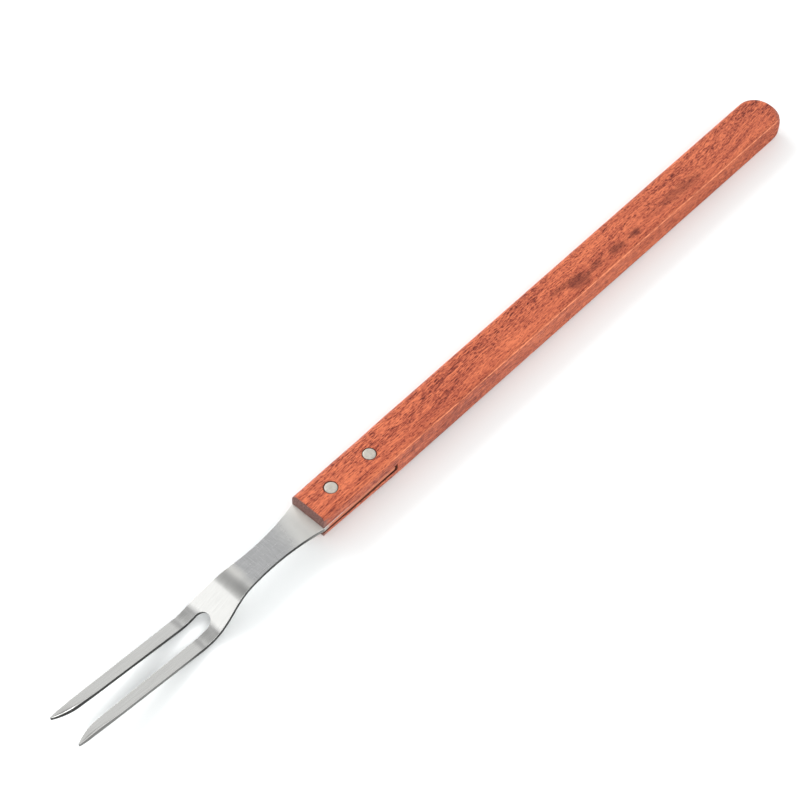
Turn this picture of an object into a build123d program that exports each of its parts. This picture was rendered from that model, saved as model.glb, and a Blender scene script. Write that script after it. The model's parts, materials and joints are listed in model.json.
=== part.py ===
"""A long two-tined roasting fork: a bent sheet-steel blade riveted into a sawn wooden handle.

Everything is drawn in the handle's own frame, in millimetres: x = 0 is the handle's front face with the
tines towards +X, y = 0 is the fork's middle, and z = 0 is the handle's flat underside. At the end the fork
is set down as it lies on a table, on its heel and on the lower edge of the butt, with the origin under
the middle of its length.
"""

import os
from math import asin, atan2, cos, degrees, hypot, radians, sin, tan

from build123d import *

# Driving dimensions, mm and degrees
overall_length = 533.4
blade_reach = 151.4  # blade in front of the handle

handle_thickness = 16.0
handle_front_width = 21.0
handle_butt_radius = 12.2
handle_edge_radius = 2.4
handle_front_break = 0.4

kerf_height = 4.4
kerf_depth = 51.9
saw_radius = 125.0

sheet = 2.5  # blade thickness
neck_top = 8.4  # top of the flat neck, above the handle's underside
first_bend = 50.0  # where the neck turns down, from the handle
first_bend_radius = 22.0
heel = 73.5  # where the blade turns up again
heel_bend_radius = 22.5
slope_angle = 24.0  # of the slope between the two bends, below the neck
rise_angle = 8.1  # of the tines, above the neck

mouth_half_width = 10.3  # blade at the handle's front face
waist, waist_half_width = 31.0, 6.75
flare, flare_half_width = 60.0, 9.56
shoulder, shoulder_half_width = 71.0, 10.6
tine_outer_end, tine_outer_end_y = 146.0, 10.0
slot_root, slot_half_width = 65.8, 4.37
tine_inner_end, tine_inner_end_y = 138.0, 5.3
tip_y, tip_width = 9.15, 0.5

tang_length = 50.5  # as wide as the mouth, so its edges show in the kerf
tang_corner = 1.5

rivet_radius = 3.3
rivet_places = {"front_rivet": -15.6, "rear_rivet": -42.4}
rivet_edge = 0.2
rivet_hole_gap = 0.05  # between rivet and wood, on the radius

# Worked out from them
handle_length = overall_length - blade_reach
butt_centre = handle_butt_radius - handle_length
kerf_middle = neck_top - kerf_height / 2
neck_middle = neck_top - sheet / 2
heel_middle = neck_middle - (heel - first_bend) * tan(radians(slope_angle))
tip_middle = heel_middle + (blade_reach - heel) * tan(radians(rise_angle))


def handle_plan():
    """Tapered sides that run tangent into a round butt."""
    front = handle_front_width / 2
    taper = asin(handle_butt_radius / hypot(butt_centre, front)) - atan2(front, -butt_centre)
    x = butt_centre + handle_butt_radius * sin(taper)
    y = handle_butt_radius * cos(taper)
    left = Line((0, front), (x, y))
    butt = ThreePointArc((x, y), (-handle_length, 0), (x, -y))
    right = Line((x, -y), (0, -front))
    return make_face(left + butt + right + Line((0, -front), (0, front)))


def rounded_handle():
    blank = extrude(handle_plan(), handle_thickness)
    middle = handle_thickness / 2
    rims = [e for e in blank.edges() if e.center().X < -1 and abs(e.center().Z - middle) > 1]
    blank = fillet(rims, handle_edge_radius)
    front = [e for e in blank.edges() if e.center().X > -handle_front_break / 2]
    return chamfer(front, handle_front_break)


def rivet_bores(radius):
    bore = Cylinder(radius, 4 * handle_thickness)
    return [Pos(x, 0, 0) * bore for x in rivet_places.values()]


def handle():
    """The kerf is as wide as the handle, and ends in the round of the saw."""
    kerf = Pos(saw_radius - kerf_depth, 0, kerf_middle) * Cylinder(saw_radius, kerf_height)
    return rounded_handle() - kerf - rivet_bores(rivet_radius + rivet_hole_gap)


def tang_outline():
    """From the middle of the tang's end to the handle's mouth."""
    corner = (tang_corner - tang_length, mouth_half_width)
    end = Line((-tang_length, 0), (-tang_length, mouth_half_width - tang_corner))
    turn = TangentArc(end @ 1, corner, tangent=(0, 1))
    return end + turn + Line(corner, (0, mouth_half_width))


def outer_outline():
    """From the handle's mouth, along the waisted neck and the tine's outer side, to the point."""
    waist_point = (waist, waist_half_width)
    neck = TangentArc(waist_point, (0, mouth_half_width), tangent=(-1, 0))
    spread = TangentArc(waist_point, (flare, flare_half_width), tangent=(1, 0))
    turn = TangentArc(spread @ 1, (shoulder, shoulder_half_width), tangent=spread % 1)
    tine = Line(turn @ 1, (tine_outer_end, tine_outer_end_y))
    point = TangentArc(tine @ 1, (blade_reach, tip_y + tip_width / 2), tangent=tine % 1)
    return neck + spread + turn + tine + point


def inner_outline():
    """From the point, along the tine's inner side, to the middle of the round slot root."""
    inner_end = (tine_inner_end, tine_inner_end_y)
    root_side = (slot_root + slot_half_width, slot_half_width)
    tip = Line((blade_reach, tip_y + tip_width / 2), (blade_reach, tip_y - tip_width / 2))
    tine = Line(root_side, inner_end)
    belly = TangentArc(inner_end, tip @ 1, tangent=tine % 1)
    root = TangentArc((slot_root, 0), root_side, tangent=(0, 1))
    return tip + belly + tine + root


def blade_plan():
    middle = Line((slot_root, 0), (-tang_length, 0))
    half = make_face(tang_outline() + outer_outline() + inner_outline() + middle)
    return half + mirror(half, Plane.XZ)


def blade_side():
    """The bent sheet from the side: its centre line, given the sheet's thickness."""
    run_out = sheet  # the line goes on past both ends, which the plan then cuts off
    line = FilletPolyline(
        (-tang_length - run_out, neck_middle),
        (first_bend, neck_middle),
        (heel, heel_middle),
        (blade_reach + run_out, tip_middle + run_out * tan(radians(rise_angle))),
        radius=[first_bend_radius, heel_bend_radius],
    )
    return Plane.XZ * trace(line, sheet)


def fork_blade():
    bent_sheet = extrude(blade_side(), 2 * handle_front_width, both=True)
    stamping = Pos(0, 0, -2 * handle_thickness) * extrude(blade_plan(), 4 * handle_thickness)
    return (bent_sheet & stamping) - rivet_bores(rivet_radius)


def rivet(x):
    pin = Cylinder(rivet_radius, handle_thickness)
    pin = chamfer(pin.edges().filter_by(GeomType.CIRCLE), rivet_edge)
    return Pos(x, 0, handle_thickness / 2) * pin


def resting_tilt():
    """Angle that sets the heel's round underside and the butt's round lower edge on one level."""
    turn = radians((rise_angle - slope_angle) / 2)
    reach_up = heel_bend_radius / cos(radians(slope_angle + rise_angle) / 2)
    heel_x = heel - reach_up * sin(turn)
    heel_z = heel_middle + reach_up * cos(turn)
    heel_round = heel_bend_radius + sheet / 2
    butt_x = handle_edge_radius - handle_length
    run, drop = heel_x - butt_x, heel_z - handle_edge_radius
    return asin((heel_round - handle_edge_radius) / hypot(run, drop)) - atan2(drop, run)


def set_down(pieces):
    tilted = {name: Rot(0, -degrees(resting_tilt()), 0) * piece for name, piece in pieces.items()}
    box = Compound(list(tilted.values())).bounding_box()
    place = Pos(-box.center().X, 0, -box.min.Z)
    return {name: place * piece for name, piece in tilted.items()}


pieces = {"handle": handle(), "fork_blade": fork_blade()}
for rivet_name, rivet_x in rivet_places.items():
    pieces[rivet_name] = rivet(rivet_x)

os.makedirs("parts", exist_ok=True)
for name, piece in set_down(pieces).items():
    export_step(piece, f"parts/{name}.step")
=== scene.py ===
import json
from math import atan2, cos, inf, pi, radians, sin, tan

import bmesh
import bpy
import numpy as np
from mathutils import Euler, Matrix, Vector, noise


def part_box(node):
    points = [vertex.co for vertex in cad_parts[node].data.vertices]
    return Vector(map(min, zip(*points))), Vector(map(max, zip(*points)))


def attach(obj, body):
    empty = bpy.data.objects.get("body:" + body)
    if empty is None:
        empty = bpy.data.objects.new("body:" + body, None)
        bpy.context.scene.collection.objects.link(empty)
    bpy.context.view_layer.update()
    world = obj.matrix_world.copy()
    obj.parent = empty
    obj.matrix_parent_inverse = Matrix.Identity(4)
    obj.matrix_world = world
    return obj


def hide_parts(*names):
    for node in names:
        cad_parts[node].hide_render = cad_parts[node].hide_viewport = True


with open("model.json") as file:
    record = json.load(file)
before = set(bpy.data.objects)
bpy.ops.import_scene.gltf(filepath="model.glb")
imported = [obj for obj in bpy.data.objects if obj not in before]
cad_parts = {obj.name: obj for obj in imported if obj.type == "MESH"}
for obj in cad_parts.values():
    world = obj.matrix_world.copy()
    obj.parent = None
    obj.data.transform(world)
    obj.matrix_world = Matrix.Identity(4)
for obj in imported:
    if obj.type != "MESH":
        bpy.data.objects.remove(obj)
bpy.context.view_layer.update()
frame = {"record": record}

# Shapes are drawn in millimetres in the handle's own frame: x = 0 is the handle's front face with the tines
# towards +x, y = 0 is the middle, and z = 0 is the handle's flat underside. These lengths repeat part.py.
MM = 0.001
HANDLE_LENGTH, THICKNESS = 382.0, 16.0
FRONT_HALF, BUTT_RADIUS = 10.5, 12.2
BUTT_CENTRE = BUTT_RADIUS - HANDLE_LENGTH
KERF_FLOOR, KERF_ROOF, KERF_DEPTH, SAW_RADIUS = 4.0, 8.4, 51.9, 125.0
RIVETS = {"front_rivet": -15.6, "rear_rivet": -42.4}
RIVET_RADIUS, HOLE_GAP = 3.3, 0.05
HALF_SHEET = 1.25
NECK_MIDDLE = KERF_ROOF - HALF_SHEET
FIRST_BEND, FIRST_RADIUS, SLOPE = 50.0, 22.0, radians(24)
HEEL, HEEL_RADIUS, RISE = 73.5, 22.5, radians(8.1)

# Points of the blade's flat outline are (x, distance from the middle).
REACH = 151.4
TANG_LENGTH, TANG_CORNER, MOUTH_HALF = 50.5, 1.5, 10.3
TANG_BEND = TANG_CORNER - TANG_LENGTH
WAIST, FLARE, SHOULDER, OUTER_END = (31.0, 6.75), (60.0, 9.56), (71.0, 10.6), (146.0, 10.0)
ROOT_X, ROOT_RADIUS, INNER_END = 70.17, 4.37, (138.0, 5.3)
OUTER_TIP, INNER_TIP = (REACH, 9.4), (REACH, 8.9)


def rest_place():
    """The handle's frame in the row frame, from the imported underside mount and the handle's box."""
    mount = frame["record"]["mounts"][0]
    pos, axis = mount["pos_m"], mount["axis"]
    tilt = atan2(axis[0], -axis[2])
    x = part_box("handle")[1].x
    return tilt, Vector((x, 0, pos[2] + (x - pos[0]) * tan(tilt)))


TILT, ORIGIN = rest_place()


def to_row(points):
    """Points in the handle's frame, mm, as points in the row frame, metres."""
    p = np.asarray(points, float) * MM
    c, s = cos(TILT), sin(TILT)
    return np.stack([p[:, 0] * c - p[:, 2] * s, p[:, 1], p[:, 0] * s + p[:, 2] * c], 1) + np.array(ORIGIN)


def smooth(low, high, value):
    t = np.clip((value - low) / (high - low), 0, 1)
    return t * t * (3 - 2 * t)


def wander(*p):
    """Smooth noise between about -1 and 1."""
    return noise.noise(Vector(p))


def steps(start, *legs):
    """Values after start. Each leg is (its last value, how many even steps lead there)."""
    made = []
    for end, count in legs:
        made += list(np.linspace(start, end, count + 1))[1:]
        start = end
    return made


# ---------------------------------------------------------------------------------------------- shaders


class Shader:
    """A material's nodes, made one call at a time."""

    def __init__(self, name):
        self.material = bpy.data.materials.new(name)
        self.material.use_nodes = True
        self.tree = self.material.node_tree
        self.bsdf = self.tree.nodes["Principled BSDF"]

    def link(self, value, socket):
        if isinstance(value, bpy.types.NodeSocket):
            self.tree.links.new(value, socket)
        else:
            socket.default_value = value

    def add(self, kind, inputs=None, **settings):
        made = self.tree.nodes.new(kind)
        for key, value in settings.items():
            setattr(made, key, value)
        for key, value in (inputs or {}).items():
            self.link(value, made.inputs[key])
        return made

    def math(self, operation, a, b=0.5, clamp=False):
        made = self.add("ShaderNodeMath", {0: a, 1: b}, operation=operation, use_clamp=clamp)
        return made.outputs[0]

    def times(self, a, b):
        return self.math("MULTIPLY", a, b)

    def larger(self, a, b):
        return self.math("MAXIMUM", a, b)

    def sum(self, *terms, start=0.0):
        """start plus each value times its weight."""
        total = start
        for value, weight in terms:
            added = self.math("MULTIPLY_ADD", value, weight)
            self.link(total, added.node.inputs[2])
            total = added
        return total

    def span(self, value, low, high, out_low=0.0, out_high=1.0):
        """value from low to high, eased, as out_low to out_high."""
        inputs = {"Value": value, "From Min": low, "From Max": high, "To Min": out_low, "To Max": out_high}
        return self.add("ShaderNodeMapRange", inputs, interpolation_type="SMOOTHSTEP").outputs[0]

    def stripe(self, value, middle, half, peak=1.0):
        """peak where the value is middle, easing to 0 at half away."""
        rise = self.span(value, middle - half, middle)
        return self.times(rise, self.span(value, middle + half, middle, 0.0, peak))

    def place(self):
        """The handle's frame in mm."""
        inputs = {"Vector": self.add("ShaderNodeTexCoord").outputs["Object"], "Location": ORIGIN,
                  "Rotation": (0, -TILT, 0), "Scale": (MM, MM, MM)}
        return self.add("ShaderNodeMapping", inputs, vector_type="TEXTURE").outputs[0]

    def split(self, vector):
        return self.add("ShaderNodeSeparateXYZ", {0: vector}).outputs

    def join(self, *parts):
        return self.add("ShaderNodeCombineXYZ", dict(enumerate(parts))).outputs[0]

    def length(self, vector):
        return self.add("ShaderNodeVectorMath", {0: vector}, operation="LENGTH").outputs["Value"]

    def stretch(self, vector, lengths, shift=(0, 0, 0)):
        """The vector with each axis divided by its length, so that a texture's cells have those lengths."""
        inputs = {"Vector": vector, "Scale": tuple(1 / length for length in lengths), "Location": shift}
        return self.add("ShaderNodeMapping", inputs).outputs[0]

    def noise(self, vector, detail=2.0, roughness=0.5):
        inputs = {"Vector": vector, "Scale": 1.0, "Detail": detail, "Roughness": roughness}
        return self.add("ShaderNodeTexNoise", inputs).outputs["Fac"]

    def ramp(self, value, *stops):
        made = self.add("ShaderNodeValToRGB", {0: value})
        set_stops(made.color_ramp.elements, stops)
        return made.outputs[0]

    def mix(self, factor, a, b, blend="MIX"):
        made = self.add("ShaderNodeMix", data_type="RGBA", blend_type=blend)
        for value, socket in ((factor, made.inputs[0]), (a, made.inputs[6]), (b, made.inputs[7])):
            self.link(value, socket)
        return made.outputs[2]

    def bump(self, height, distance, strength=1.0, normal=None):
        inputs = {"Height": height, "Distance": distance, "Strength": strength}
        if normal is not None:
            inputs["Normal"] = normal
        return self.add("ShaderNodeBump", inputs).outputs[0]

    def surface(self, **inputs):
        for key, value in inputs.items():
            self.link(value, self.bsdf.inputs[key.replace("_", " ")])
        return self.material


def set_stops(elements, stops):
    """Gives a colour ramp its (position, colour) stops."""
    while len(elements) < len(stops):
        elements.new(0.5)
    for element, (position, colour) in zip(elements, stops):
        element.position, element.color = position, colour


def rgb(red, green, blue):
    """A colour as it looks on screen, 0 to 255 but not near black, as linear light."""
    return (*[((level / 255 + 0.055) / 1.055) ** 2.4 for level in (red, green, blue)], 1.0)


def grey(level, warmth):
    """A metal's linear colour, whose blue is lower by the warmth."""
    return level, level, level - warmth, 1


# ---------------------------------------------------------------------------------------------- wood

IGNORED = 1e6  # a stretch so long that its axis doesn't count
# Each smoky mark's middle x and y, half-length, half-width and strength.
SMOKY_MARKS = ((-187, 1.4, 10, 2.4, 0.45), (-199, 4.4, 10, 5.4, 0.80), (-214.5, 4.6, 8, 3.2, 0.60),
               (-232, 5.2, 9, 3.8, 0.70), (-247, 5.4, 6, 3.3, 0.75), (-290, 4.0, 26, 4.4, 0.45))


def pores(s, vector, lengths, size, share):
    """Flecks that run along the grain: 1 inside a fleck, 0 outside. share is how many cells have none."""
    inputs = {"Vector": s.stretch(vector, lengths), "Scale": 1.0, "Randomness": 1.0}
    cells = s.add("ShaderNodeTexVoronoi", inputs)
    chance = s.add("ShaderNodeSeparateColor", {0: cells.outputs["Color"]})
    fleck = s.span(cells.outputs["Distance"], size * 0.45, size, 1.0, 0.0)
    strength = s.span(chance.outputs[0], share, min(share + 0.35, 1.0))
    return s.times(fleck, strength)


def grain_place(s, place):
    """The grain's lines drift from side to side over the length of the handle, and lean near the butt."""
    x, y, z = s.split(place)
    drift = s.noise(s.stretch(place, (70, 26, 26)))
    ripple = s.noise(s.stretch(place, (16, 5, 5), (3.1, 0, 0)))
    lean = s.span(x, -300, -380, 0.0, 5.0)
    across = s.math("ADD", y, s.times(drift, 5.0))
    across = s.math("ADD", across, s.math("ADD", lean, s.times(ripple, 0.35)))
    up = s.math("ADD", z, s.times(drift, 4.0))
    return s.join(x, across, up)


def grain_tone(s, place, grain, side_face, long_pores, short_pores):
    """Bands, flecks, fibres and dark pores, with straight streaks by the mouth."""
    x, y, _ = s.split(place)
    bands = s.noise(s.stretch(grain, (34, 3.4, 3.4)), 3.0, 0.55)
    flecks = s.noise(s.stretch(grain, (3.0, 0.50, 0.50), (0, 0, 7)), 2.0, 0.6)
    fibres = s.noise(s.stretch(grain, (8.0, 0.36, 0.36)), 2.0, 0.6)
    streaks = s.noise(s.stretch(grain, (26, 0.62, 0.62), (3, 0, 0)), 2.0, 0.6)
    side_fibres = s.noise(s.stretch(grain, (3.2, 1, 0.45), (0, 4, 0)), 2.0, 0.7)
    straight = s.times(s.span(y, -1.0, 5.0), s.span(x, -66, -44))
    far_side = s.span(y, 6.0, -6.0, 0.35, 1.0)  # the pores crowd towards the -y side
    calm = s.span(y, -3.0, 7.0, 1.1, 0.62)
    level = s.sum((s.times(streaks, straight), 1.7), (straight, -0.85),
                  (s.times(side_face, side_fibres), 1.8), (side_face, -0.88),
                  (bands, 1.15),
                  (s.times(flecks, calm), 2.4), (calm, -1.2),
                  (fibres, 1.3),
                  (s.times(long_pores, far_side), -0.62), (short_pores, -0.58),
                  (s.stripe(x, -95, 55), -0.10), (s.span(x, -320, -375), -0.10),
                  (s.times(side_face, s.span(x, -160, -90)), -0.09), start=-0.50)
    tone = s.ramp(level, (0.0, rgb(92, 34, 26)), (0.28, rgb(132, 57, 42)), (0.52, rgb(163, 80, 57)),
                  (0.76, rgb(184, 95, 66)), (1.0, rgb(206, 113, 77)))
    return tone, fibres


def with_smoke(s, tone, place, below):
    """Dull smoky marks in a row along the top."""
    smoke = s.noise(s.stretch(place, (4.5, 2.2, 9)), 3.0, 0.7)
    for x, y, long, wide, strength in SMOKY_MARKS:
        here = s.stretch(place, (long, wide, IGNORED), (-x / long, -y / wide, 0))
        away = s.sum((smoke, 1.5), (s.length(here), 1.0), start=-0.75)
        mark = s.times(s.span(away, 1.15, 0.25, 0.0, strength), s.span(below, 3.0, 1.0))
        tone = s.mix(mark, tone, (0.23, 0.15, 0.21, 1), "MULTIPLY")
    return tone


def with_edge_highlight_and_wear(s, tone, place, x, inside, below):
    """A painted highlight line along the long top edges behind the mouth, which also stands for lighter
    wood where sanding wore them.
    """
    corner = s.times(s.stripe(below, 1.25, 0.55), s.span(inside, 1.1, 0.5))
    wear_and_painted_light = s.noise(s.stretch(place, (5, 3, 3), (1, 2, 0)), 3.0, 0.6)
    edge_highlight_and_wear = s.times(corner, s.span(wear_and_painted_light, 0.35, 0.62, 0.25, 1.0))
    # painted highlight: the long top edges are coloured lighter, partly for sanding wear
    return s.mix(s.times(edge_highlight_and_wear, s.span(x, -38, -60)), tone, rgb(240, 146, 104))


def with_end_grain(s, tone, place, x, front_face, side_face):
    """End grain at the mouth drinks the oil and turns dark, and the oil seeps round the corner."""
    dots = pores(s, place, (0.9, 0.42, 0.42), 0.6, 0.3)
    rings = s.noise(s.stretch(place, (3, 0.7, 0.5)), 3.0, 0.7)
    end_tone = s.mix(s.span(rings, 0.3, 0.7), rgb(84, 55, 50), rgb(148, 110, 102))
    end_tone = s.mix(s.times(dots, 0.6), end_tone, rgb(58, 34, 32))
    seeped = s.times(side_face, s.span(s.sum((x, 1.0), (rings, 1.6)), -3.4, 0.2, 0.0, 0.9))
    return s.mix(s.larger(front_face, seeped), tone, end_tone)


def with_dark_rivet_rings(s, tone, place):
    """A darker, ragged ring in the wood round each rivet, over the hole's torn mouth."""
    for number, rivet_x in enumerate(RIVETS.values()):
        here = s.stretch(place, (1, 1, IGNORED), (-rivet_x - 0.08, 0.10 - 0.2 * number, 0))
        wobble = s.noise(s.stretch(place, (1.6, 1.6, 1.6), (number, 0, 0)), 3.0)
        away = s.math("SUBTRACT", s.length(here), s.times(wobble, 0.6))
        tone = s.mix(s.span(away, 3.25, 3.62, 0.85, 0.0), tone, rgb(48, 16, 12))
    return tone


def wood():
    s = Shader("oiled_red_hardwood")
    place = s.place()
    x, y, z = s.split(place)
    grain = grain_place(s, place)
    long_pores = pores(s, grain, (4.2, 0.85, 0.85), 0.40, 0.42)
    short_pores = pores(s, grain, (2.1, 0.55, 0.55), 0.44, 0.30)

    # How far each place is in from the handle's side and below its top, and where the faces are.
    wall = s.sum((x, (FRONT_HALF - BUTT_RADIUS) / -BUTT_CENTRE), start=FRONT_HALF)
    inside = s.math("SUBTRACT", wall, s.math("ABSOLUTE", y))
    below = s.math("SUBTRACT", THICKNESS, z)
    side_face = s.times(s.span(inside, 1.0, 0.2), s.span(below, 1.0, 2.4))
    front_face = s.span(x, -0.55, -0.12)

    tone, fibres = grain_tone(s, place, grain, side_face, long_pores, short_pores)
    tone = with_smoke(s, tone, place, below)
    tone = with_edge_highlight_and_wear(s, tone, place, x, inside, below)
    tone = with_end_grain(s, tone, place, x, front_face, side_face)
    tone = with_dark_rivet_rings(s, tone, place)

    sheen = s.noise(s.stretch(grain, (20, 2.5, 2.5)), 3.0, 0.6)
    roughness = s.math("ADD", s.span(sheen, 0.3, 0.7, 0.36, 0.50), s.times(long_pores, 0.2))
    matt = s.larger(front_face, s.times(side_face, s.span(x, -130, -290, 0.15, 1.0)))
    roughness = s.math("ADD", roughness, s.times(matt, 0.3), clamp=True)
    normal = s.bump(s.sum((short_pores, -0.5), (long_pores, -1.0)), 0.00006, 0.7)
    normal = s.bump(fibres, 0.00003, 0.6, normal)
    return s.surface(Base_Color=tone, Roughness=roughness, Normal=normal, Specular_IOR_Level=0.22)


def sawn_wood():
    """The kerf and the drilled holes: raw sawn wood, coloured dark as painted shade for the inside of the
    slot and the hole mouths, and partly with dirt.
    """
    s = Shader("sawn_wood_painted_shade")
    place = s.place()
    x, _, _ = s.split(place)
    strokes = s.noise(s.stretch(place, (0.5, 6, 1.5)), 3.0, 0.7)
    deep_tone = s.mix(s.span(strokes, 0.3, 0.7), rgb(58, 31, 24), rgb(98, 54, 42))
    mouth_tone = s.mix(strokes, rgb(78, 44, 34), rgb(124, 72, 56))
    tone = s.mix(s.span(x, -46, -36), deep_tone, mouth_tone)  # darker towards the kerf's end
    normal = s.bump(strokes, 0.0001, 0.6)
    return s.surface(Base_Color=tone, Roughness=s.span(strokes, 0.3, 0.7, 0.75, 0.95), Normal=normal,
                     Specular_IOR_Level=0.2)


# ---------------------------------------------------------------------------------------------- metal


def with_painted_bend_reflections(s, tone, x, y, clouds):
    """Painted reflections: lighter and darker bars across the bends, standing for the room reflected in the
    bent metal.
    """
    wavy = s.sum((x, 1.0), (clouds, 1.6), start=-0.8)
    highlight_bar = s.times(s.stripe(wavy, 45.2, 4.6), s.span(y, 3.5, -1.5))
    tone = s.mix(highlight_bar, tone, (0.71, 0.705, 0.68, 1))
    neck_reflection_bar = s.times(s.stripe(wavy, 48.9, 4.1), s.span(y, -3.0, 6.0, 0.3, 0.8))
    # In the heel two painted dark reflection bars run across each tine, around a lighter spot at its +y
    # edge.
    edges = [s.math("ABSOLUTE", s.sum((y, 1.0), start=-edge_y)) for edge_y in (-4.4, 9.8)]
    off = s.math("MINIMUM", *edges)
    spot = s.length(s.join(s.sum((wavy, 1 / 3.4), start=-74.2 / 3.4), s.times(off, 1 / 4.2)))
    bars = s.larger(s.larger(s.stripe(wavy, 69.4, 2.6), s.stripe(wavy, 78.4, 3.0)),
                    s.stripe(wavy, 73.8, 7.5, 0.45))
    heel_reflection_bars = s.times(bars, s.span(spot, 0.65, 1.25))
    # painted reflection: darker bars across the neck's bend and the heel
    for bar in (neck_reflection_bar, heel_reflection_bars):
        tone = s.mix(s.times(bar, 0.75), tone, grey(0.37, 0.005))
    return tone


def steel():
    s = Shader("brushed_steel_sheet")
    place = s.place()
    x, y, _ = s.split(place)
    along = s.noise(s.stretch(place, (26, 0.16, 3)), 3.0, 0.65)
    coarse = s.noise(s.stretch(place, (60, 0.8, 5), (0, 3, 0)), 2.0, 0.6)
    cross = s.noise(s.stretch(place, (0.30, 5, 5), (5, 0, 0)), 3.0, 0.7)
    clouds = s.noise(s.stretch(place, (14, 7, 9), (2, 0, 0)), 3.0, 0.55)
    # The neck was polished across, and less finely, where it was held for bending; its darker colour there
    # is painted, a painted dark reflection over the real cross scratches.
    ragged = s.sum((x, 1.0), (y, -0.35), (clouds, 8.0), start=-4.0)
    held = s.times(s.span(ragged, 8, 24), s.span(x, 46, 41))
    near_mouth = s.span(ragged, 18, 4)
    lines = s.mix(s.times(held, 0.6), along, cross)
    tone = s.mix(s.span(lines, 0.3, 0.7), grey(0.57, 0.015), grey(0.66, 0.015))
    tone = s.mix(s.span(clouds, 0.3, 0.7, 0.0, 0.10), tone, grey(0.52, 0.01))
    scuffs = s.span(s.sum((cross, 0.6), (along, 0.4)), 0.35, 0.65)
    wear_and_painted_light = s.mix(scuffs, (0.39, 0.395, 0.40, 1), (0.50, 0.505, 0.51, 1))
    # painted reflection: the held stretch of the neck is coloured darker, over its real cross scratches
    tone = s.mix(s.times(held, 0.9), tone, wear_and_painted_light)
    # painted light: towards the mouth the steel is coloured lighter, to make up for the shade of the
    # handle's end
    tone = s.mix(near_mouth, tone, s.mix(s.span(x, 8, 1), grey(0.52, 0.02), grey(0.70, 0.03)))
    tone = with_painted_bend_reflections(s, tone, x, y, clouds)
    roughness = s.sum((s.span(lines, 0.3, 0.7), 0.04), (s.span(coarse, 0.3, 0.7), 0.03), (held, 0.07),
                      (near_mouth, 0.42), start=0.15)
    normal = s.bump(lines, 0.000012, 0.12)
    return s.surface(Base_Color=tone, Metallic=1.0, Roughness=roughness, Normal=normal)


def sheared_steel():
    """The sheet's cut edge: dark, with the shear's fine upright lines."""
    s = Shader("sheared_steel_edge")
    place = s.place()
    x, y, z = s.split(place)
    upright = s.noise(s.stretch(place, (0.35, 0.35, 3)), 3.0, 0.7)
    patches = s.noise(s.stretch(place, (5, 5, 2)), 3.0, 0.6)
    tone = s.mix(s.span(upright, 0.3, 0.7), (0.015, 0.0145, 0.014, 1), (0.06, 0.059, 0.057, 1))
    tone = s.mix(s.span(patches, 0.45, 0.75, 0.0, 0.5), tone, (0.01, 0.0095, 0.009, 1))
    # painted light: the near tine's outer wall, which faces the light, is coloured lighter than the shaded
    # inner wall across the slot
    lit_outer_wall = s.times(s.span(y, 6.5, 8.5), s.span(x, 78, 95, 0.0, 0.6))
    tone = s.mix(lit_outer_wall, tone, grey(0.26, 0.01))
    # By the mouth the edge's upper part is coloured lighter, a painted highlight, and inside the handle the
    # wood's stain has run over it.
    mouth_highlight = s.times(s.span(x, 13, 3), s.span(z, 8.1, 7.4, 0.0, 0.45))
    tone = s.mix(s.larger(mouth_highlight, s.span(x, 0.5, -0.8)), tone, grey(0.42, 0.02))
    stain = s.span(s.sum((x, 1.0), (patches, 4.0), start=-2.0), -1.5, -5.0)
    tone = s.mix(stain, tone, s.mix(upright, rgb(150, 74, 52), rgb(226, 140, 104)))
    return s.surface(Base_Color=tone, Metallic=s.sum((stain, -0.25), start=0.25), Specular_IOR_Level=0.25,
                     Roughness=s.span(patches, 0.3, 0.7, 0.45, 0.62), Normal=s.bump(upright, 0.00004, 0.6))


def rivet_metal():
    s = Shader("satin_aluminium")
    place = s.place()
    mottle = s.noise(s.stretch(place, (1.1, 1.1, 1.1)), 4.0, 0.65)
    scratches = s.noise(s.stretch(place, (3.5, 0.18, 2)), 3.0, 0.7)
    tone = s.mix(s.span(mottle, 0.3, 0.7), rgb(172, 166, 157), rgb(190, 185, 176))
    tone = s.mix(s.span(scratches, 0.5, 0.8, 0.0, 0.4), tone, rgb(160, 154, 146))
    normal = s.bump(s.math("ADD", mottle, scratches), 0.00005, 0.5)
    return s.surface(Base_Color=tone, Metallic=0.55, Roughness=s.span(mottle, 0.3, 0.7, 0.42, 0.58),
                     Normal=normal)


# ---------------------------------------------------------------------------------------------- meshes


def to_object(name, bm, materials, sharp=38):
    """A mesh in the handle's frame, mm, as an object in the row frame. sharp is in degrees."""
    mesh = bpy.data.meshes.new(name)
    bm.to_mesh(mesh)
    bm.free()
    points = np.array([v.co for v in mesh.vertices])
    mesh.vertices.foreach_set("co", to_row(points).astype(np.float32).ravel())
    for material in materials:
        mesh.materials.append(material)
    shade(mesh, sharp)
    mesh.update()
    made = bpy.data.objects.new(name, mesh)
    bpy.context.scene.collection.objects.link(made)
    return made


def shade(mesh, sharp):
    mesh.shade_smooth()
    mesh.set_sharp_from_angle(angle=radians(sharp))


def tidy(bm, merge=1e-4):
    """Joins vertices that lie together and turns the faces outwards."""
    bmesh.ops.remove_doubles(bm, verts=bm.verts, dist=merge)
    bmesh.ops.dissolve_degenerate(bm, edges=bm.edges, dist=merge)
    bmesh.ops.recalc_face_normals(bm, faces=bm.faces)


def add_grid(bm, rows, kept=lambda i, j: True, material=0):
    """Faces between rows of vertices. Each row is a list of vertices of the same count."""
    for i in range(len(rows) - 1):
        for j in range(len(rows[0]) - 1):
            corners = [rows[i][j], rows[i][j + 1], rows[i + 1][j + 1], rows[i + 1][j]]
            if kept(i, j) and len(set(corners)) == 4:
                bm.faces.new(corners).material_index = material


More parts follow.
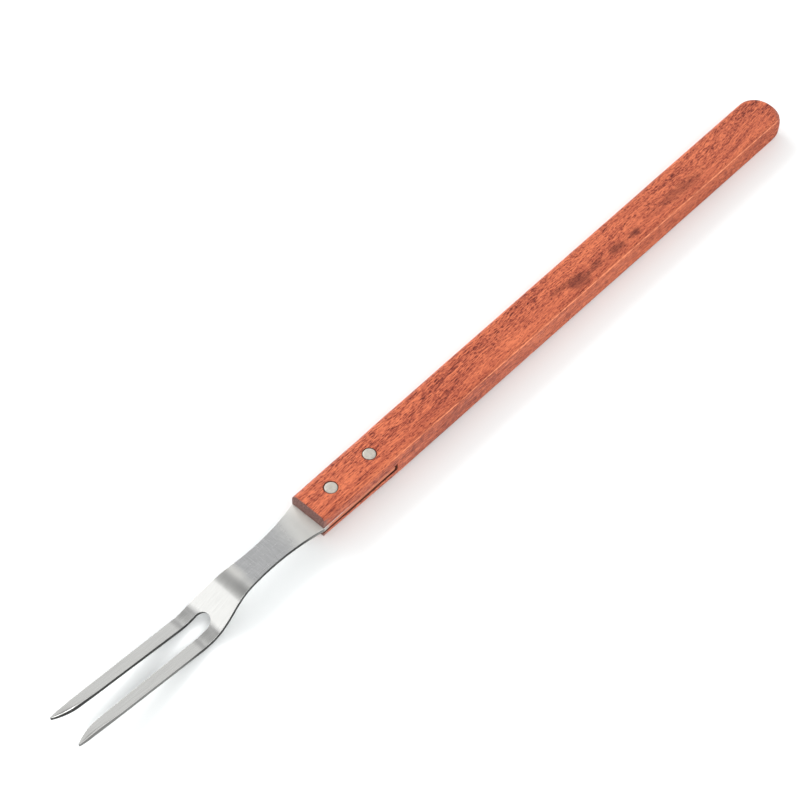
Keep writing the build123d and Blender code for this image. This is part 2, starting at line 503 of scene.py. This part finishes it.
def add_barrel(bm, rings):
    """Faces around a stack of rings of vertices, closed at both ends."""
    for near, far in zip(rings, rings[1:]):
        for k in range(len(near)):
            after = (k + 1) % len(near)
            bm.faces.new((near[k], near[after], far[after], far[k]))
    bm.faces.new(rings[0][::-1])
    bm.faces.new(rings[-1])


def cut(obj, cutters):
    """Subtracts the cutters and removes them."""
    for cutter in cutters:
        step = obj.modifiers.new("cut", "BOOLEAN")
        step.operation, step.solver, step.object = "DIFFERENCE", "EXACT", cutter
    made = bpy.data.meshes.new_from_object(obj.evaluated_get(bpy.context.evaluated_depsgraph_get()))
    obj.modifiers.clear()
    obj.data = made
    for cutter in cutters:
        bpy.data.objects.remove(cutter)


# ---------------------------------------------------------------------------------------------- handle

FILLET_STEPS = 7
TOP_STEPS = 7
SIDE_HEIGHTS = (11.0, 9.4, KERF_ROOF, 7.0, 5.5, KERF_FLOOR, 3.4)
ROOF_ROW = TOP_STEPS + FILLET_STEPS + 1 + SIDE_HEIGHTS.index(KERF_ROOF)
FLOOR_ROW = TOP_STEPS + FILLET_STEPS + 1 + SIDE_HEIGHTS.index(KERF_FLOOR)
NOSE_RADIUS = 2.4  # of the lower jaw's worn front corner
CLEARANCE = 0.015  # keeps the crisper bottom edge inside the CAD model's box
# Heights, and the power of the butt's plan there on its +y side: round at the top and squarer below.
BUTT_FULLNESS = (2.0, 9.0, 15.5), (5.0, 4.3, 2.0)
FAR_FULLNESS = 2.12  # the same on its -y side, at every height


def half_width(x):
    return FRONT_HALF + (BUTT_RADIUS - FRONT_HALF) * x / BUTT_CENTRE


def edge_radii(x, side):
    """Hand-rounded top and bottom edges: softer around the kerf than behind it, and never quite even."""
    top = 2.45 + 0.5 * (1 - smooth(36, 66, -x)) - 0.2 * side
    bottom = 1.1 + 1.6 * (1 - smooth(15, 58, -x)) + 8.0 * max(side, 0) * (1 - side)
    return top + 0.2 * wander(x / 23, side * 3.1, 0.5), bottom + 0.12 * wander(x / 29, side * 2.3, 7.5)


def handle_profile(width, radii, x, side):
    """Half a cross-section, from the middle of the top round to the middle of the underside.

    side is 1 on the +y side and -1 on the -y side, and goes from one to the other round the butt.
    """
    dip = 0.07 + 0.05 * wander(x / 31, side * 2.0, 9.0)
    hollow = 0.04 + 0.04 * wander(x / 27, side * 2.0, 4.0)
    sanded = 0.33 * max(side, 0) * (1 - smooth(0, 28, -x))  # the mouth was trimmed on its +y side
    wall, top = width - hollow - sanded, THICKNESS - dip
    upper, lower = radii
    turns = [pi / 2 * k / FILLET_STEPS for k in range(FILLET_STEPS + 1)]
    shares = [k / TOP_STEPS for k in range(TOP_STEPS)]
    crown = THICKNESS - CLEARANCE
    points = [((wall - upper) * k, crown - (dip - CLEARANCE) * smooth(0, 1, k)) for k in shares]
    points += [(wall - upper + upper * sin(a), top - upper + upper * cos(a)) for a in turns]
    points += [(wall, z) for z in SIDE_HEIGHTS]
    points += [(wall - lower + lower * cos(a), lower - lower * sin(a)) for a in turns]
    points += [((wall - lower) * k, 0.0) for k in reversed(shares)]
    lift = CLEARANCE + NOSE_RADIUS - (NOSE_RADIUS ** 2 - max(NOSE_RADIUS + x, 0) ** 2) ** 0.5
    return [(u, max(z, lift + z * 0.1) if z < KERF_FLOOR - 0.5 else z) for u, z in points]


def butt_reach(z, angle):
    """The butt's plan at that height and angle, as a share of a circle's reach."""
    power = np.interp(z, *BUTT_FULLNESS) if cos(angle) > 0 else FAR_FULLNESS
    return (abs(sin(angle)) ** power + abs(cos(angle)) ** power) ** (-1 / power)


def kerf_end(y):
    return SAW_RADIUS - KERF_DEPTH - (SAW_RADIUS ** 2 - y ** 2) ** 0.5


def handle_stations():
    """(x, direction) from the mouth along the +y side, round the butt, and back along the -y side.

    Also returns how many of them reach from the mouth to the kerf's end.
    """
    x_end = kerf_end(half_width(-KERF_DEPTH))
    front = [0.0, -0.1, -0.3, -0.6, -1.0, -1.6, -2.4] + list(np.linspace(-3.5, x_end, 36))
    straight = front + steps(x_end, (BUTT_CENTRE, 211))
    turn = np.linspace(0, pi, 57)[1:-1]
    stations = [(x, 0.0) for x in straight] + [(BUTT_CENTRE, a) for a in turn]
    return stations + [(x, pi) for x in reversed(straight)], len(front)


def handle_row(bm, x, angle):
    side = cos(angle)
    reach = x - BUTT_RADIUS * sin(angle)
    row = []
    for u, z in handle_profile(half_width(x), edge_radii(reach, side), reach, side):
        u *= butt_reach(z, angle)
        row.append(bm.verts.new((x - u * sin(angle), u * side, z)))
    return row


def handle_blank():
    bm = bmesh.new()
    stations, mouth_count = handle_stations()
    rows = [handle_row(bm, x, angle) for x, angle in stations]
    last = len(rows) - 1
    kerf = set(range(mouth_count - 1)) | set(range(last - mouth_count + 1, last))
    add_grid(bm, rows, lambda i, j: not (i in kerf and ROOF_ROW <= j < FLOOR_ROW))
    across_kerf = np.linspace(1, -1, 13)[1:-1]

    def crossing(i, row):
        """A row of vertices from the +y wall to the -y wall, at one station."""
        left, right = rows[i][row], rows[last - i][row]
        at_end = i == mouth_count - 1
        middle = []
        for y in across_kerf * left.co.y:
            middle.append(bm.verts.new((kerf_end(y) if at_end else left.co.x, y, left.co.z)))
        return [left] + middle + [right]

    roof = [crossing(i, ROOF_ROW) for i in range(mouth_count)]
    floor = [crossing(i, FLOOR_ROW) for i in range(mouth_count)]
    between = [crossing(mouth_count - 1, row) for row in range(ROOF_ROW + 1, FLOOR_ROW)]
    for surface in (roof, floor, [roof[-1]] + between + [floor[-1]]):
        add_grid(bm, surface, material=1)
    upper = rows[0][:ROOF_ROW] + roof[0] + rows[last][:ROOF_ROW][::-1]
    lower = rows[0][FLOOR_ROW + 1:] + rows[last][FLOOR_ROW + 1:][::-1] + floor[0][::-1]
    bm.faces.new(upper[:-1] if upper[0].co == upper[-1].co else upper)
    bm.faces.new(lower)
    tidy(bm)
    return bm


def ease_sharp_edges(bm, width, least_angle):
    """Breaks each sharp edge with a small round."""
    sharp = [e for e in bm.edges if len(e.link_faces) == 2 and e.calc_face_angle() > least_angle]
    bmesh.ops.bevel(bm, geom=sharp, offset=width, offset_type="OFFSET", segments=3, profile=0.5,
                    affect="EDGES", clamp_overlap=True)


def hole_cutter(x, seed):
    """A drilled hole whose mouths are a little torn."""
    bm = bmesh.new()
    # Height, and how far the tear has opened there.
    levels = [(-1.0, 1), (0.07, 1), (0.3, 0.6), (0.6, 0), (15.4, 0), (15.7, 0.6), (15.9, 1), (17.0, 1)]
    count = 56
    rings = []
    for z, opened in levels:
        ring = []
        end_seed = seed + (3 if z > THICKNESS / 2 else 0)
        for k in range(count):
            a = 2 * pi * k / count
            tear = 0.16 + 0.15 * wander(2.0 * cos(a), 2.0 * sin(a), end_seed)
            tear += 0.10 * wander(5.0 * cos(a), 5.0 * sin(a), seed)
            r = RIVET_RADIUS + HOLE_GAP + max(tear, 0.02) * opened
            ring.append(bm.verts.new((x + r * cos(a), r * sin(a), z)))
        rings.append(ring)
    add_barrel(bm, rings)
    bmesh.ops.recalc_face_normals(bm, faces=bm.faces)
    return bm


def make_handle(material, kerf_material):
    bm = handle_blank()
    ease_sharp_edges(bm, 0.18, radians(60))
    obj = to_object("handle_wood_grip", bm, [material, kerf_material])
    cut(obj, [to_object(f"hole_{n}", hole_cutter(x, 7.0 * n), [kerf_material])
              for n, x in enumerate(RIVETS.values())])
    shade(obj.data, 38)
    return obj


# ---------------------------------------------------------------------------------------------- blade

TANG_HALF = 10.58  # at its end: the tang was sanded flush with the handle's tapered sides


def centre_line(x):
    """Height and unit normal (x, z) of the bent sheet's middle, at plan position x."""
    drop, climb = tan(SLOPE), tan(RISE)
    first_in = FIRST_BEND - FIRST_RADIUS * tan(SLOPE / 2)
    first_out = first_in + FIRST_RADIUS * sin(SLOPE)
    heel_z = NECK_MIDDLE - (HEEL - FIRST_BEND) * drop
    reach = HEEL_RADIUS * tan((SLOPE + RISE) / 2)
    heel_in = HEEL - reach * cos(SLOPE)
    heel_out = HEEL + reach * cos(RISE)
    centre_x = heel_in + HEEL_RADIUS * sin(SLOPE)
    centre_z = heel_z + reach * sin(SLOPE) + HEEL_RADIUS * cos(SLOPE)
    if x <= first_in:
        return NECK_MIDDLE, (0.0, 1.0)
    if x <= first_out:
        z = (FIRST_RADIUS ** 2 - (x - first_in) ** 2) ** 0.5
        return NECK_MIDDLE - FIRST_RADIUS + z, ((x - first_in) / FIRST_RADIUS, z / FIRST_RADIUS)
    if x <= heel_in:
        return NECK_MIDDLE - (x - FIRST_BEND) * drop, (sin(SLOPE), cos(SLOPE))
    if x <= heel_out:
        z = (HEEL_RADIUS ** 2 - (x - centre_x) ** 2) ** 0.5
        return centre_z - z, ((centre_x - x) / HEEL_RADIUS, z / HEEL_RADIUS)
    return heel_z + (x - HEEL) * climb, (-sin(RISE), cos(RISE))


def bent(x, y, h):
    """A point of the flat sheet, h above its middle, on the bent sheet."""
    z, (nx, nz) = centre_line(x)
    return x + nx * h, y, z + nz * h


def line_from(start, end):
    """y of x on the line from start to end, and its direction."""
    run = np.subtract(end, start)
    return (lambda x: start[1] + run[1] * (x - start[0]) / run[0]), run


def arc_from(start, direction, end):
    """y of x on the arc that leaves start along direction and comes to end, and its direction there."""
    t = np.array(direction) / np.hypot(*direction)
    d = np.subtract(end, start)
    normal = np.array([-t[1], t[0]])
    radius = d @ d / (2 * d @ normal)
    centre = np.array(start) + radius * normal
    bow = np.sign(start[1] - centre[1])
    chord = d / np.hypot(*d)
    way = 2 * (chord @ t) * chord - t
    return (lambda x: centre[1] + bow * (radius ** 2 - (x - centre[0]) ** 2) ** 0.5), way


def tang_side(x):
    return MOUTH_HALF + (TANG_HALF - MOUTH_HALF) * x / TANG_BEND


def tang_corner(x):
    return TANG_HALF - TANG_CORNER + max(TANG_CORNER ** 2 - (x - TANG_BEND) ** 2, 0) ** 0.5


def slot_root(x):
    return max(ROOT_RADIUS ** 2 - (x - ROOT_X) ** 2, 0) ** 0.5


def outlines():
    """The blade's outer and inner half-widths, as lists of (end x, y of x)."""
    neck, _ = arc_from(WAIST, (-1, 0), (0, MOUTH_HALF))
    spread, at_flare = arc_from(WAIST, (1, 0), FLARE)
    turn, _ = arc_from(FLARE, at_flare, SHOULDER)
    tine, tine_way = line_from(SHOULDER, OUTER_END)
    point, _ = arc_from(OUTER_END, tine_way, OUTER_TIP)
    outer = [(TANG_BEND, tang_corner), (0, tang_side), (WAIST[0], neck), (FLARE[0], spread),
             (SHOULDER[0], turn), (OUTER_END[0], tine), (inf, point)]
    slot, slot_way = line_from((ROOT_X, ROOT_RADIUS), INNER_END)
    belly, _ = arc_from(INNER_END, slot_way, INNER_TIP)
    return outer, [(ROOT_X, slot_root), (INNER_END[0], slot), (inf, belly)]


OUTER, INNER = outlines()


def along(outline, x):
    return next(y(x) for end, y in outline if x <= end)


def outward(outline, x, side):
    """The outline's unit normal away from the metal. side is 1 for the outer outline, -1 for the inner."""
    step = 0.05
    slope = (along(outline, min(x + step, REACH)) - along(outline, x - step)) / (2 * step)
    n = np.array([-slope, 1.0]) * side
    return n / np.hypot(*n)


# The edge's section from the top face to the underside, as sheared and as ground: (distance out from the
# outline in mm, height as a share of half the sheet).
CUT_EDGE = [(-0.13, 1), (-0.07, 0.985), (-0.02, 0.945), (0, 0.87), (0, 0.45), (0, 0),
            (0, -0.45), (0, -0.90), (-0.02, -0.96), (-0.06, -0.99), (-0.12, -1)]
GROUND_EDGE = [(-1.60, 1), (-1.25, 0.97), (-0.93, 0.88), (-0.60, 0.68), (-0.30, 0.42), (-0.06, 0.18),
               (0, 0.02), (0, -0.50), (-0.05, -0.80), (-0.14, -0.95), (-0.28, -1)]
GROUND_WIDTH = 1.60
GROUND_FROM, GROUND_FULLY = 126, 143
TOP_STRIPS = 3  # the strips of the section that are still as bright as the top face


def edge_points(x, width, facing):
    """The edge's section at x: sheared, and ground towards the point, more on the edges that face +y.

    facing is the outline's direction: 1 for +y, -1 for -y. The points are (distance out, height), in mm.
    """
    ground = smooth(GROUND_FROM, GROUND_FULLY, x) * (0.58 + 0.42 * facing)
    fit = min(1.0, 0.46 * width / GROUND_WIDTH) * (0.7 + 0.3 * facing)
    thin = 1 - 0.45 * smooth(140, REACH, x)
    made = []
    for cut_point, ground_point in zip(CUT_EDGE, GROUND_EDGE):
        out, height = np.array(cut_point) + np.subtract(ground_point, cut_point) * ground
        height *= thin if height > 0 else 0.5 + 0.5 * thin
        made.append((out * fit, HALF_SHEET * height))
    return made


def blade_stations():
    """(inner x, outer x, root angle or None) from the tang's end to the points.

    They are closer together in the bends and towards the points.
    """
    bends_start, root_start, bends_end = 44, 65.5, 80
    corner = [TANG_BEND - TANG_CORNER * cos(pi / 2 * k / 6) for k in range(7)]
    neck = corner + steps(TANG_BEND, (0, 29), (bends_start, 44), (root_start - 0.5, 42))
    made = [(x, x, None) for x in neck]
    count = 14
    for k in range(count + 1):
        angle = pi / 2 * k / count
        x_out = root_start + (ROOT_X - root_start) * k / count
        made.append((ROOT_X - ROOT_RADIUS * cos(angle), x_out, angle))
    tine = steps(ROOT_X, (bends_end, 20), (GROUND_FROM, 30), (OUTER_END[0], 33), (REACH - 0.3, 13))
    return made + [(x, x, None) for x in tine]


def inner_point(x, angle):
    """The inner outline's point and unit normal. Before the slot the point is on the middle line."""
    if angle is not None:
        return np.array([x, ROOT_RADIUS * sin(angle)]), np.array([cos(angle), -sin(angle)])
    if x > ROOT_X:
        return np.array([x, along(INNER, x)]), outward(INNER, x, -1)
    return np.array([x, 0.0]), np.array([0.0, 0.0])


def outer_point(x):
    """The outer outline's point and unit normal."""
    point = np.array([x, along(OUTER, x)])
    if x < TANG_BEND:
        return point, np.array([x - TANG_BEND, point[1] - TANG_HALF + TANG_CORNER]) / TANG_CORNER
    return point, outward(OUTER, x, 1)


ACROSS = [0, 0.006, 0.12, 0.25, 0.38, 0.5, 0.62, 0.75, 0.88, 0.994, 1]


def half_blade(bm, side):
    """The blade from its middle line to one side: top, underside, and the walls of the two outlines."""

    def bend_row(points):
        return [bm.verts.new(bent(p[0], p[1] * side, h)) for p, h in points]

    def face_row(inner, outer):
        """Across the sheet, from one (plan position, height) to another."""
        (a, h_a), (b, h_b) = inner, outer
        return bend_row([(a + (b - a) * share, h_a * (1 - share) + h_b * share) for share in ACROSS])

    tops, bottoms, outer_walls, inner_walls = [], [], [], []
    for x_in, x_out, angle in blade_stations():
        p_in, n_in = inner_point(x_in, angle)
        p_out, n_out = outer_point(x_out)
        width = p_out[1] - p_in[1]
        outer = [(p_out + n_out * out, h) for out, h in edge_points(x_in, width, side)]
        facing = -side if angle is None else -side * sin(angle)
        inner = [(p_in + n_in * out, h) for out, h in edge_points(x_in, width, facing)]
        tops.append(face_row(inner[0], outer[0]))
        bottoms.append(face_row(inner[-1], outer[-1]))
        outer_walls.append([tops[-1][-1]] + bend_row(outer[1:-1]) + [bottoms[-1][-1]])
        if angle is not None or x_in > ROOT_X:
            inner_walls.append([tops[-1][0]] + bend_row(inner[1:-1]) + [bottoms[-1][0]])
    add_grid(bm, tops)
    add_grid(bm, bottoms)
    for walls in (outer_walls, inner_walls):
        for j in range(len(CUT_EDGE) - 1):
            add_grid(bm, [row[j:j + 2] for row in walls], material=1 if j >= TOP_STRIPS else 0)
    tip = outer_walls[-1] + bottoms[-1][1:-1][::-1] + inner_walls[-1][::-1] + tops[-1][1:-1]
    bm.faces.new(tip).material_index = 1
    back = outer_walls[0] + bottoms[0][:-1][::-1] + tops[0][:-1]
    bm.faces.new(back).material_index = 1


def blade_cutter(x):
    bm = bmesh.new()
    place = Matrix.Translation((x, 0, NECK_MIDDLE))
    bmesh.ops.create_cone(bm, cap_ends=True, segments=48, radius1=RIVET_RADIUS, radius2=RIVET_RADIUS,
                          depth=8, matrix=place)
    return bm


def make_blade(material, edge_material):
    bm = bmesh.new()
    for side in (1, -1):
        half_blade(bm, side)
    tidy(bm, 2e-4)
    obj = to_object("fork_blade_steel", bm, [material, edge_material], 42)
    cut(obj, [to_object(f"blade_hole_{n}", blade_cutter(x), [edge_material])
              for n, x in enumerate(RIVETS.values())])
    return obj


# ---------------------------------------------------------------------------------------------- rivets

# A head's face from its middle outwards: (radius, depth below flush).
HEAD = [(0.001, 0.0), (0.8, 0.0), (1.6, 0.005), (2.3, 0.015), (2.75, 0.035), (3.02, 0.08), (3.18, 0.16),
        (3.26, 0.30), (3.285, 0.5)]


def rivet_ring(bm, x, seed, level, stretch):
    """Vertices around the pin.

    level is (radius, z, end), where end is 1 on the top head, -1 on the lower one, and 0 between them.
    stretch is how far the blows have widened the heads along x and y.
    """
    radius, z, end = level
    count = 60
    spread = max(0, 1 - min(z, THICKNESS - z) / 0.4)  # all of it on the faces, none 0.4 mm below them
    ring = []
    for k in range(count):
        a = 2 * pi * k / count
        uneven = 0.07 * wander(1.7 * cos(a), 1.7 * sin(a), seed + end) * smooth(2.0, 3.2, radius) * abs(end)
        r = min(radius * (1 - abs(uneven) * 0.5), RIVET_RADIUS)
        px = r * cos(a) * (1 + (stretch[0] - 1) * spread)
        py = r * sin(a) * (1 + (stretch[1] - 1) * spread)
        dent = (0.02 + 0.02 * wander(px * 0.8, py * 0.8, seed + 5 * end)) * abs(end)
        ring.append(bm.verts.new((x + px, py, z - end * dent)))
    return ring


def make_rivet(name, x, seed, stretch, material):
    """A pin whose two ends were hammered out flush: rims a little uneven, faces faintly dented."""
    bm = bmesh.new()
    levels = [(r, THICKNESS - depth, 1) for r, depth in HEAD]
    levels += [(3.28, THICKNESS / 2, 0)] + [(r, depth, -1) for r, depth in reversed(HEAD)]
    add_barrel(bm, [rivet_ring(bm, x, seed, level, stretch) for level in levels])
    tidy(bm, 5e-5)
    return to_object(name, bm, [material], 45)


# ---------------------------------------------------------------------------------------------- stage


def softbox(name, target, direction, distance, size, radiance, colour=(1, 1, 1)):
    """A soft rectangular light, of that radiance at its face, looking at target from direction.

    The target, distance and size are in metres, in the row frame.
    """
    light = bpy.data.lights.new(name, "AREA")
    light.shape, light.size, light.size_y = "RECTANGLE", size[0], size[1]
    light.energy, light.color = radiance * pi * size[0] * size[1], colour
    made = bpy.data.objects.new(name, light)
    bpy.context.scene.collection.objects.link(made)
    way = Vector(direction).normalized()
    made.location = Vector(target) + way * distance
    made.rotation_euler = way.to_track_quat("Z", "Y").to_euler()


def sky(levels, strength):
    """A plain grey surround whose brightness depends on the height above the horizon, in degrees."""
    world = bpy.data.worlds.new("studio_surround")
    world.use_nodes = True
    tree = world.node_tree
    way = tree.nodes.new("ShaderNodeTexCoord")
    parts = tree.nodes.new("ShaderNodeSeparateXYZ")
    ramp = tree.nodes.new("ShaderNodeValToRGB")
    tree.links.new(way.outputs["Generated"], parts.inputs[0])
    tree.links.new(parts.outputs[2], ramp.inputs[0])
    tree.links.new(ramp.outputs[0], tree.nodes["Background"].inputs[0])
    tree.nodes["Background"].inputs[1].default_value = strength
    stops = [(sin(radians(elevation)), (value, value, value, 1)) for elevation, value in levels]
    set_stops(ramp.color_ramp.elements, stops)
    bpy.context.scene.world = world


def make_floor():
    s = Shader("pale_paper_sweep")
    place = s.add("ShaderNodeTexCoord").outputs["Object"]
    fine = s.noise(s.stretch(place, (0.4, 0.4, 0.4)), 2.0)
    tone = s.mix(s.span(fine, 0.3, 0.7), (0.882, 0.900, 0.901, 1), (0.895, 0.913, 0.914, 1))
    s.surface(Base_Color=tone, Roughness=0.9, Specular_IOR_Level=0.2)
    bm = bmesh.new()
    bmesh.ops.create_grid(bm, x_segments=8, y_segments=8, size=4.0)  # 8 m across
    mesh = bpy.data.meshes.new("floor")
    bm.to_mesh(mesh)
    bm.free()
    mesh.materials.append(s.material)
    made = bpy.data.objects.new("floor", mesh)
    bpy.context.scene.collection.objects.link(made)


def make_camera():
    """Stands off the tines' +y side and looks steeply down at the whole fork."""
    data = bpy.data.cameras.new("camera")
    data.lens, data.sensor_width = 77.13, 36.0
    data.clip_start, data.clip_end = 0.02, 20.0
    made = bpy.data.objects.new("camera", data)
    made.location = (0.4300, 0.3099, 0.6907)
    made.rotation_euler = Euler((radians(36.933), radians(-1.858), radians(131.802)), "XYZ")
    bpy.context.scene.collection.objects.link(made)
    bpy.context.scene.camera = made


make_camera()
make_floor()
sky([(0, 1.0), (54, 0.93), (60, 0.86), (64.5, 0.64), (69, 0.51), (80, 0.47)], 1.0)
softbox("slope_box", (0.17, 0, 0.01), (0.586, -0.392, 0.710), 1.4, (0.75, 0.75), 0.66)
softbox("back_box", (0, 0, 0), (0.05, -0.83, 0.55), 1.7, (1.6, 0.9), 4.5)
softbox("front_box", (0, 0, 0), (0.25, 0.62, 0.70), 1.9, (1.8, 1.0), 2.6, (0.985, 1, 1))
bpy.context.scene.view_settings.view_transform = "Standard"

pieces = [(make_handle(wood(), sawn_wood()), "handle", "handle_wood"),
          (make_blade(steel(), sheared_steel()), "fork_blade", "blade_steel")]
metal = rivet_metal()
for count, (node_name, rivet_x) in enumerate(RIVETS.items()):
    pin = make_rivet(f"{node_name}_pin", rivet_x, 11.0 * count, (1.045, 0.95 + 0.025 * count), metal)
    pieces.append((pin, node_name, "rivet_metal"))
for piece, node_name, slot_name in pieces:
    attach(piece, "root")
    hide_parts(node_name)
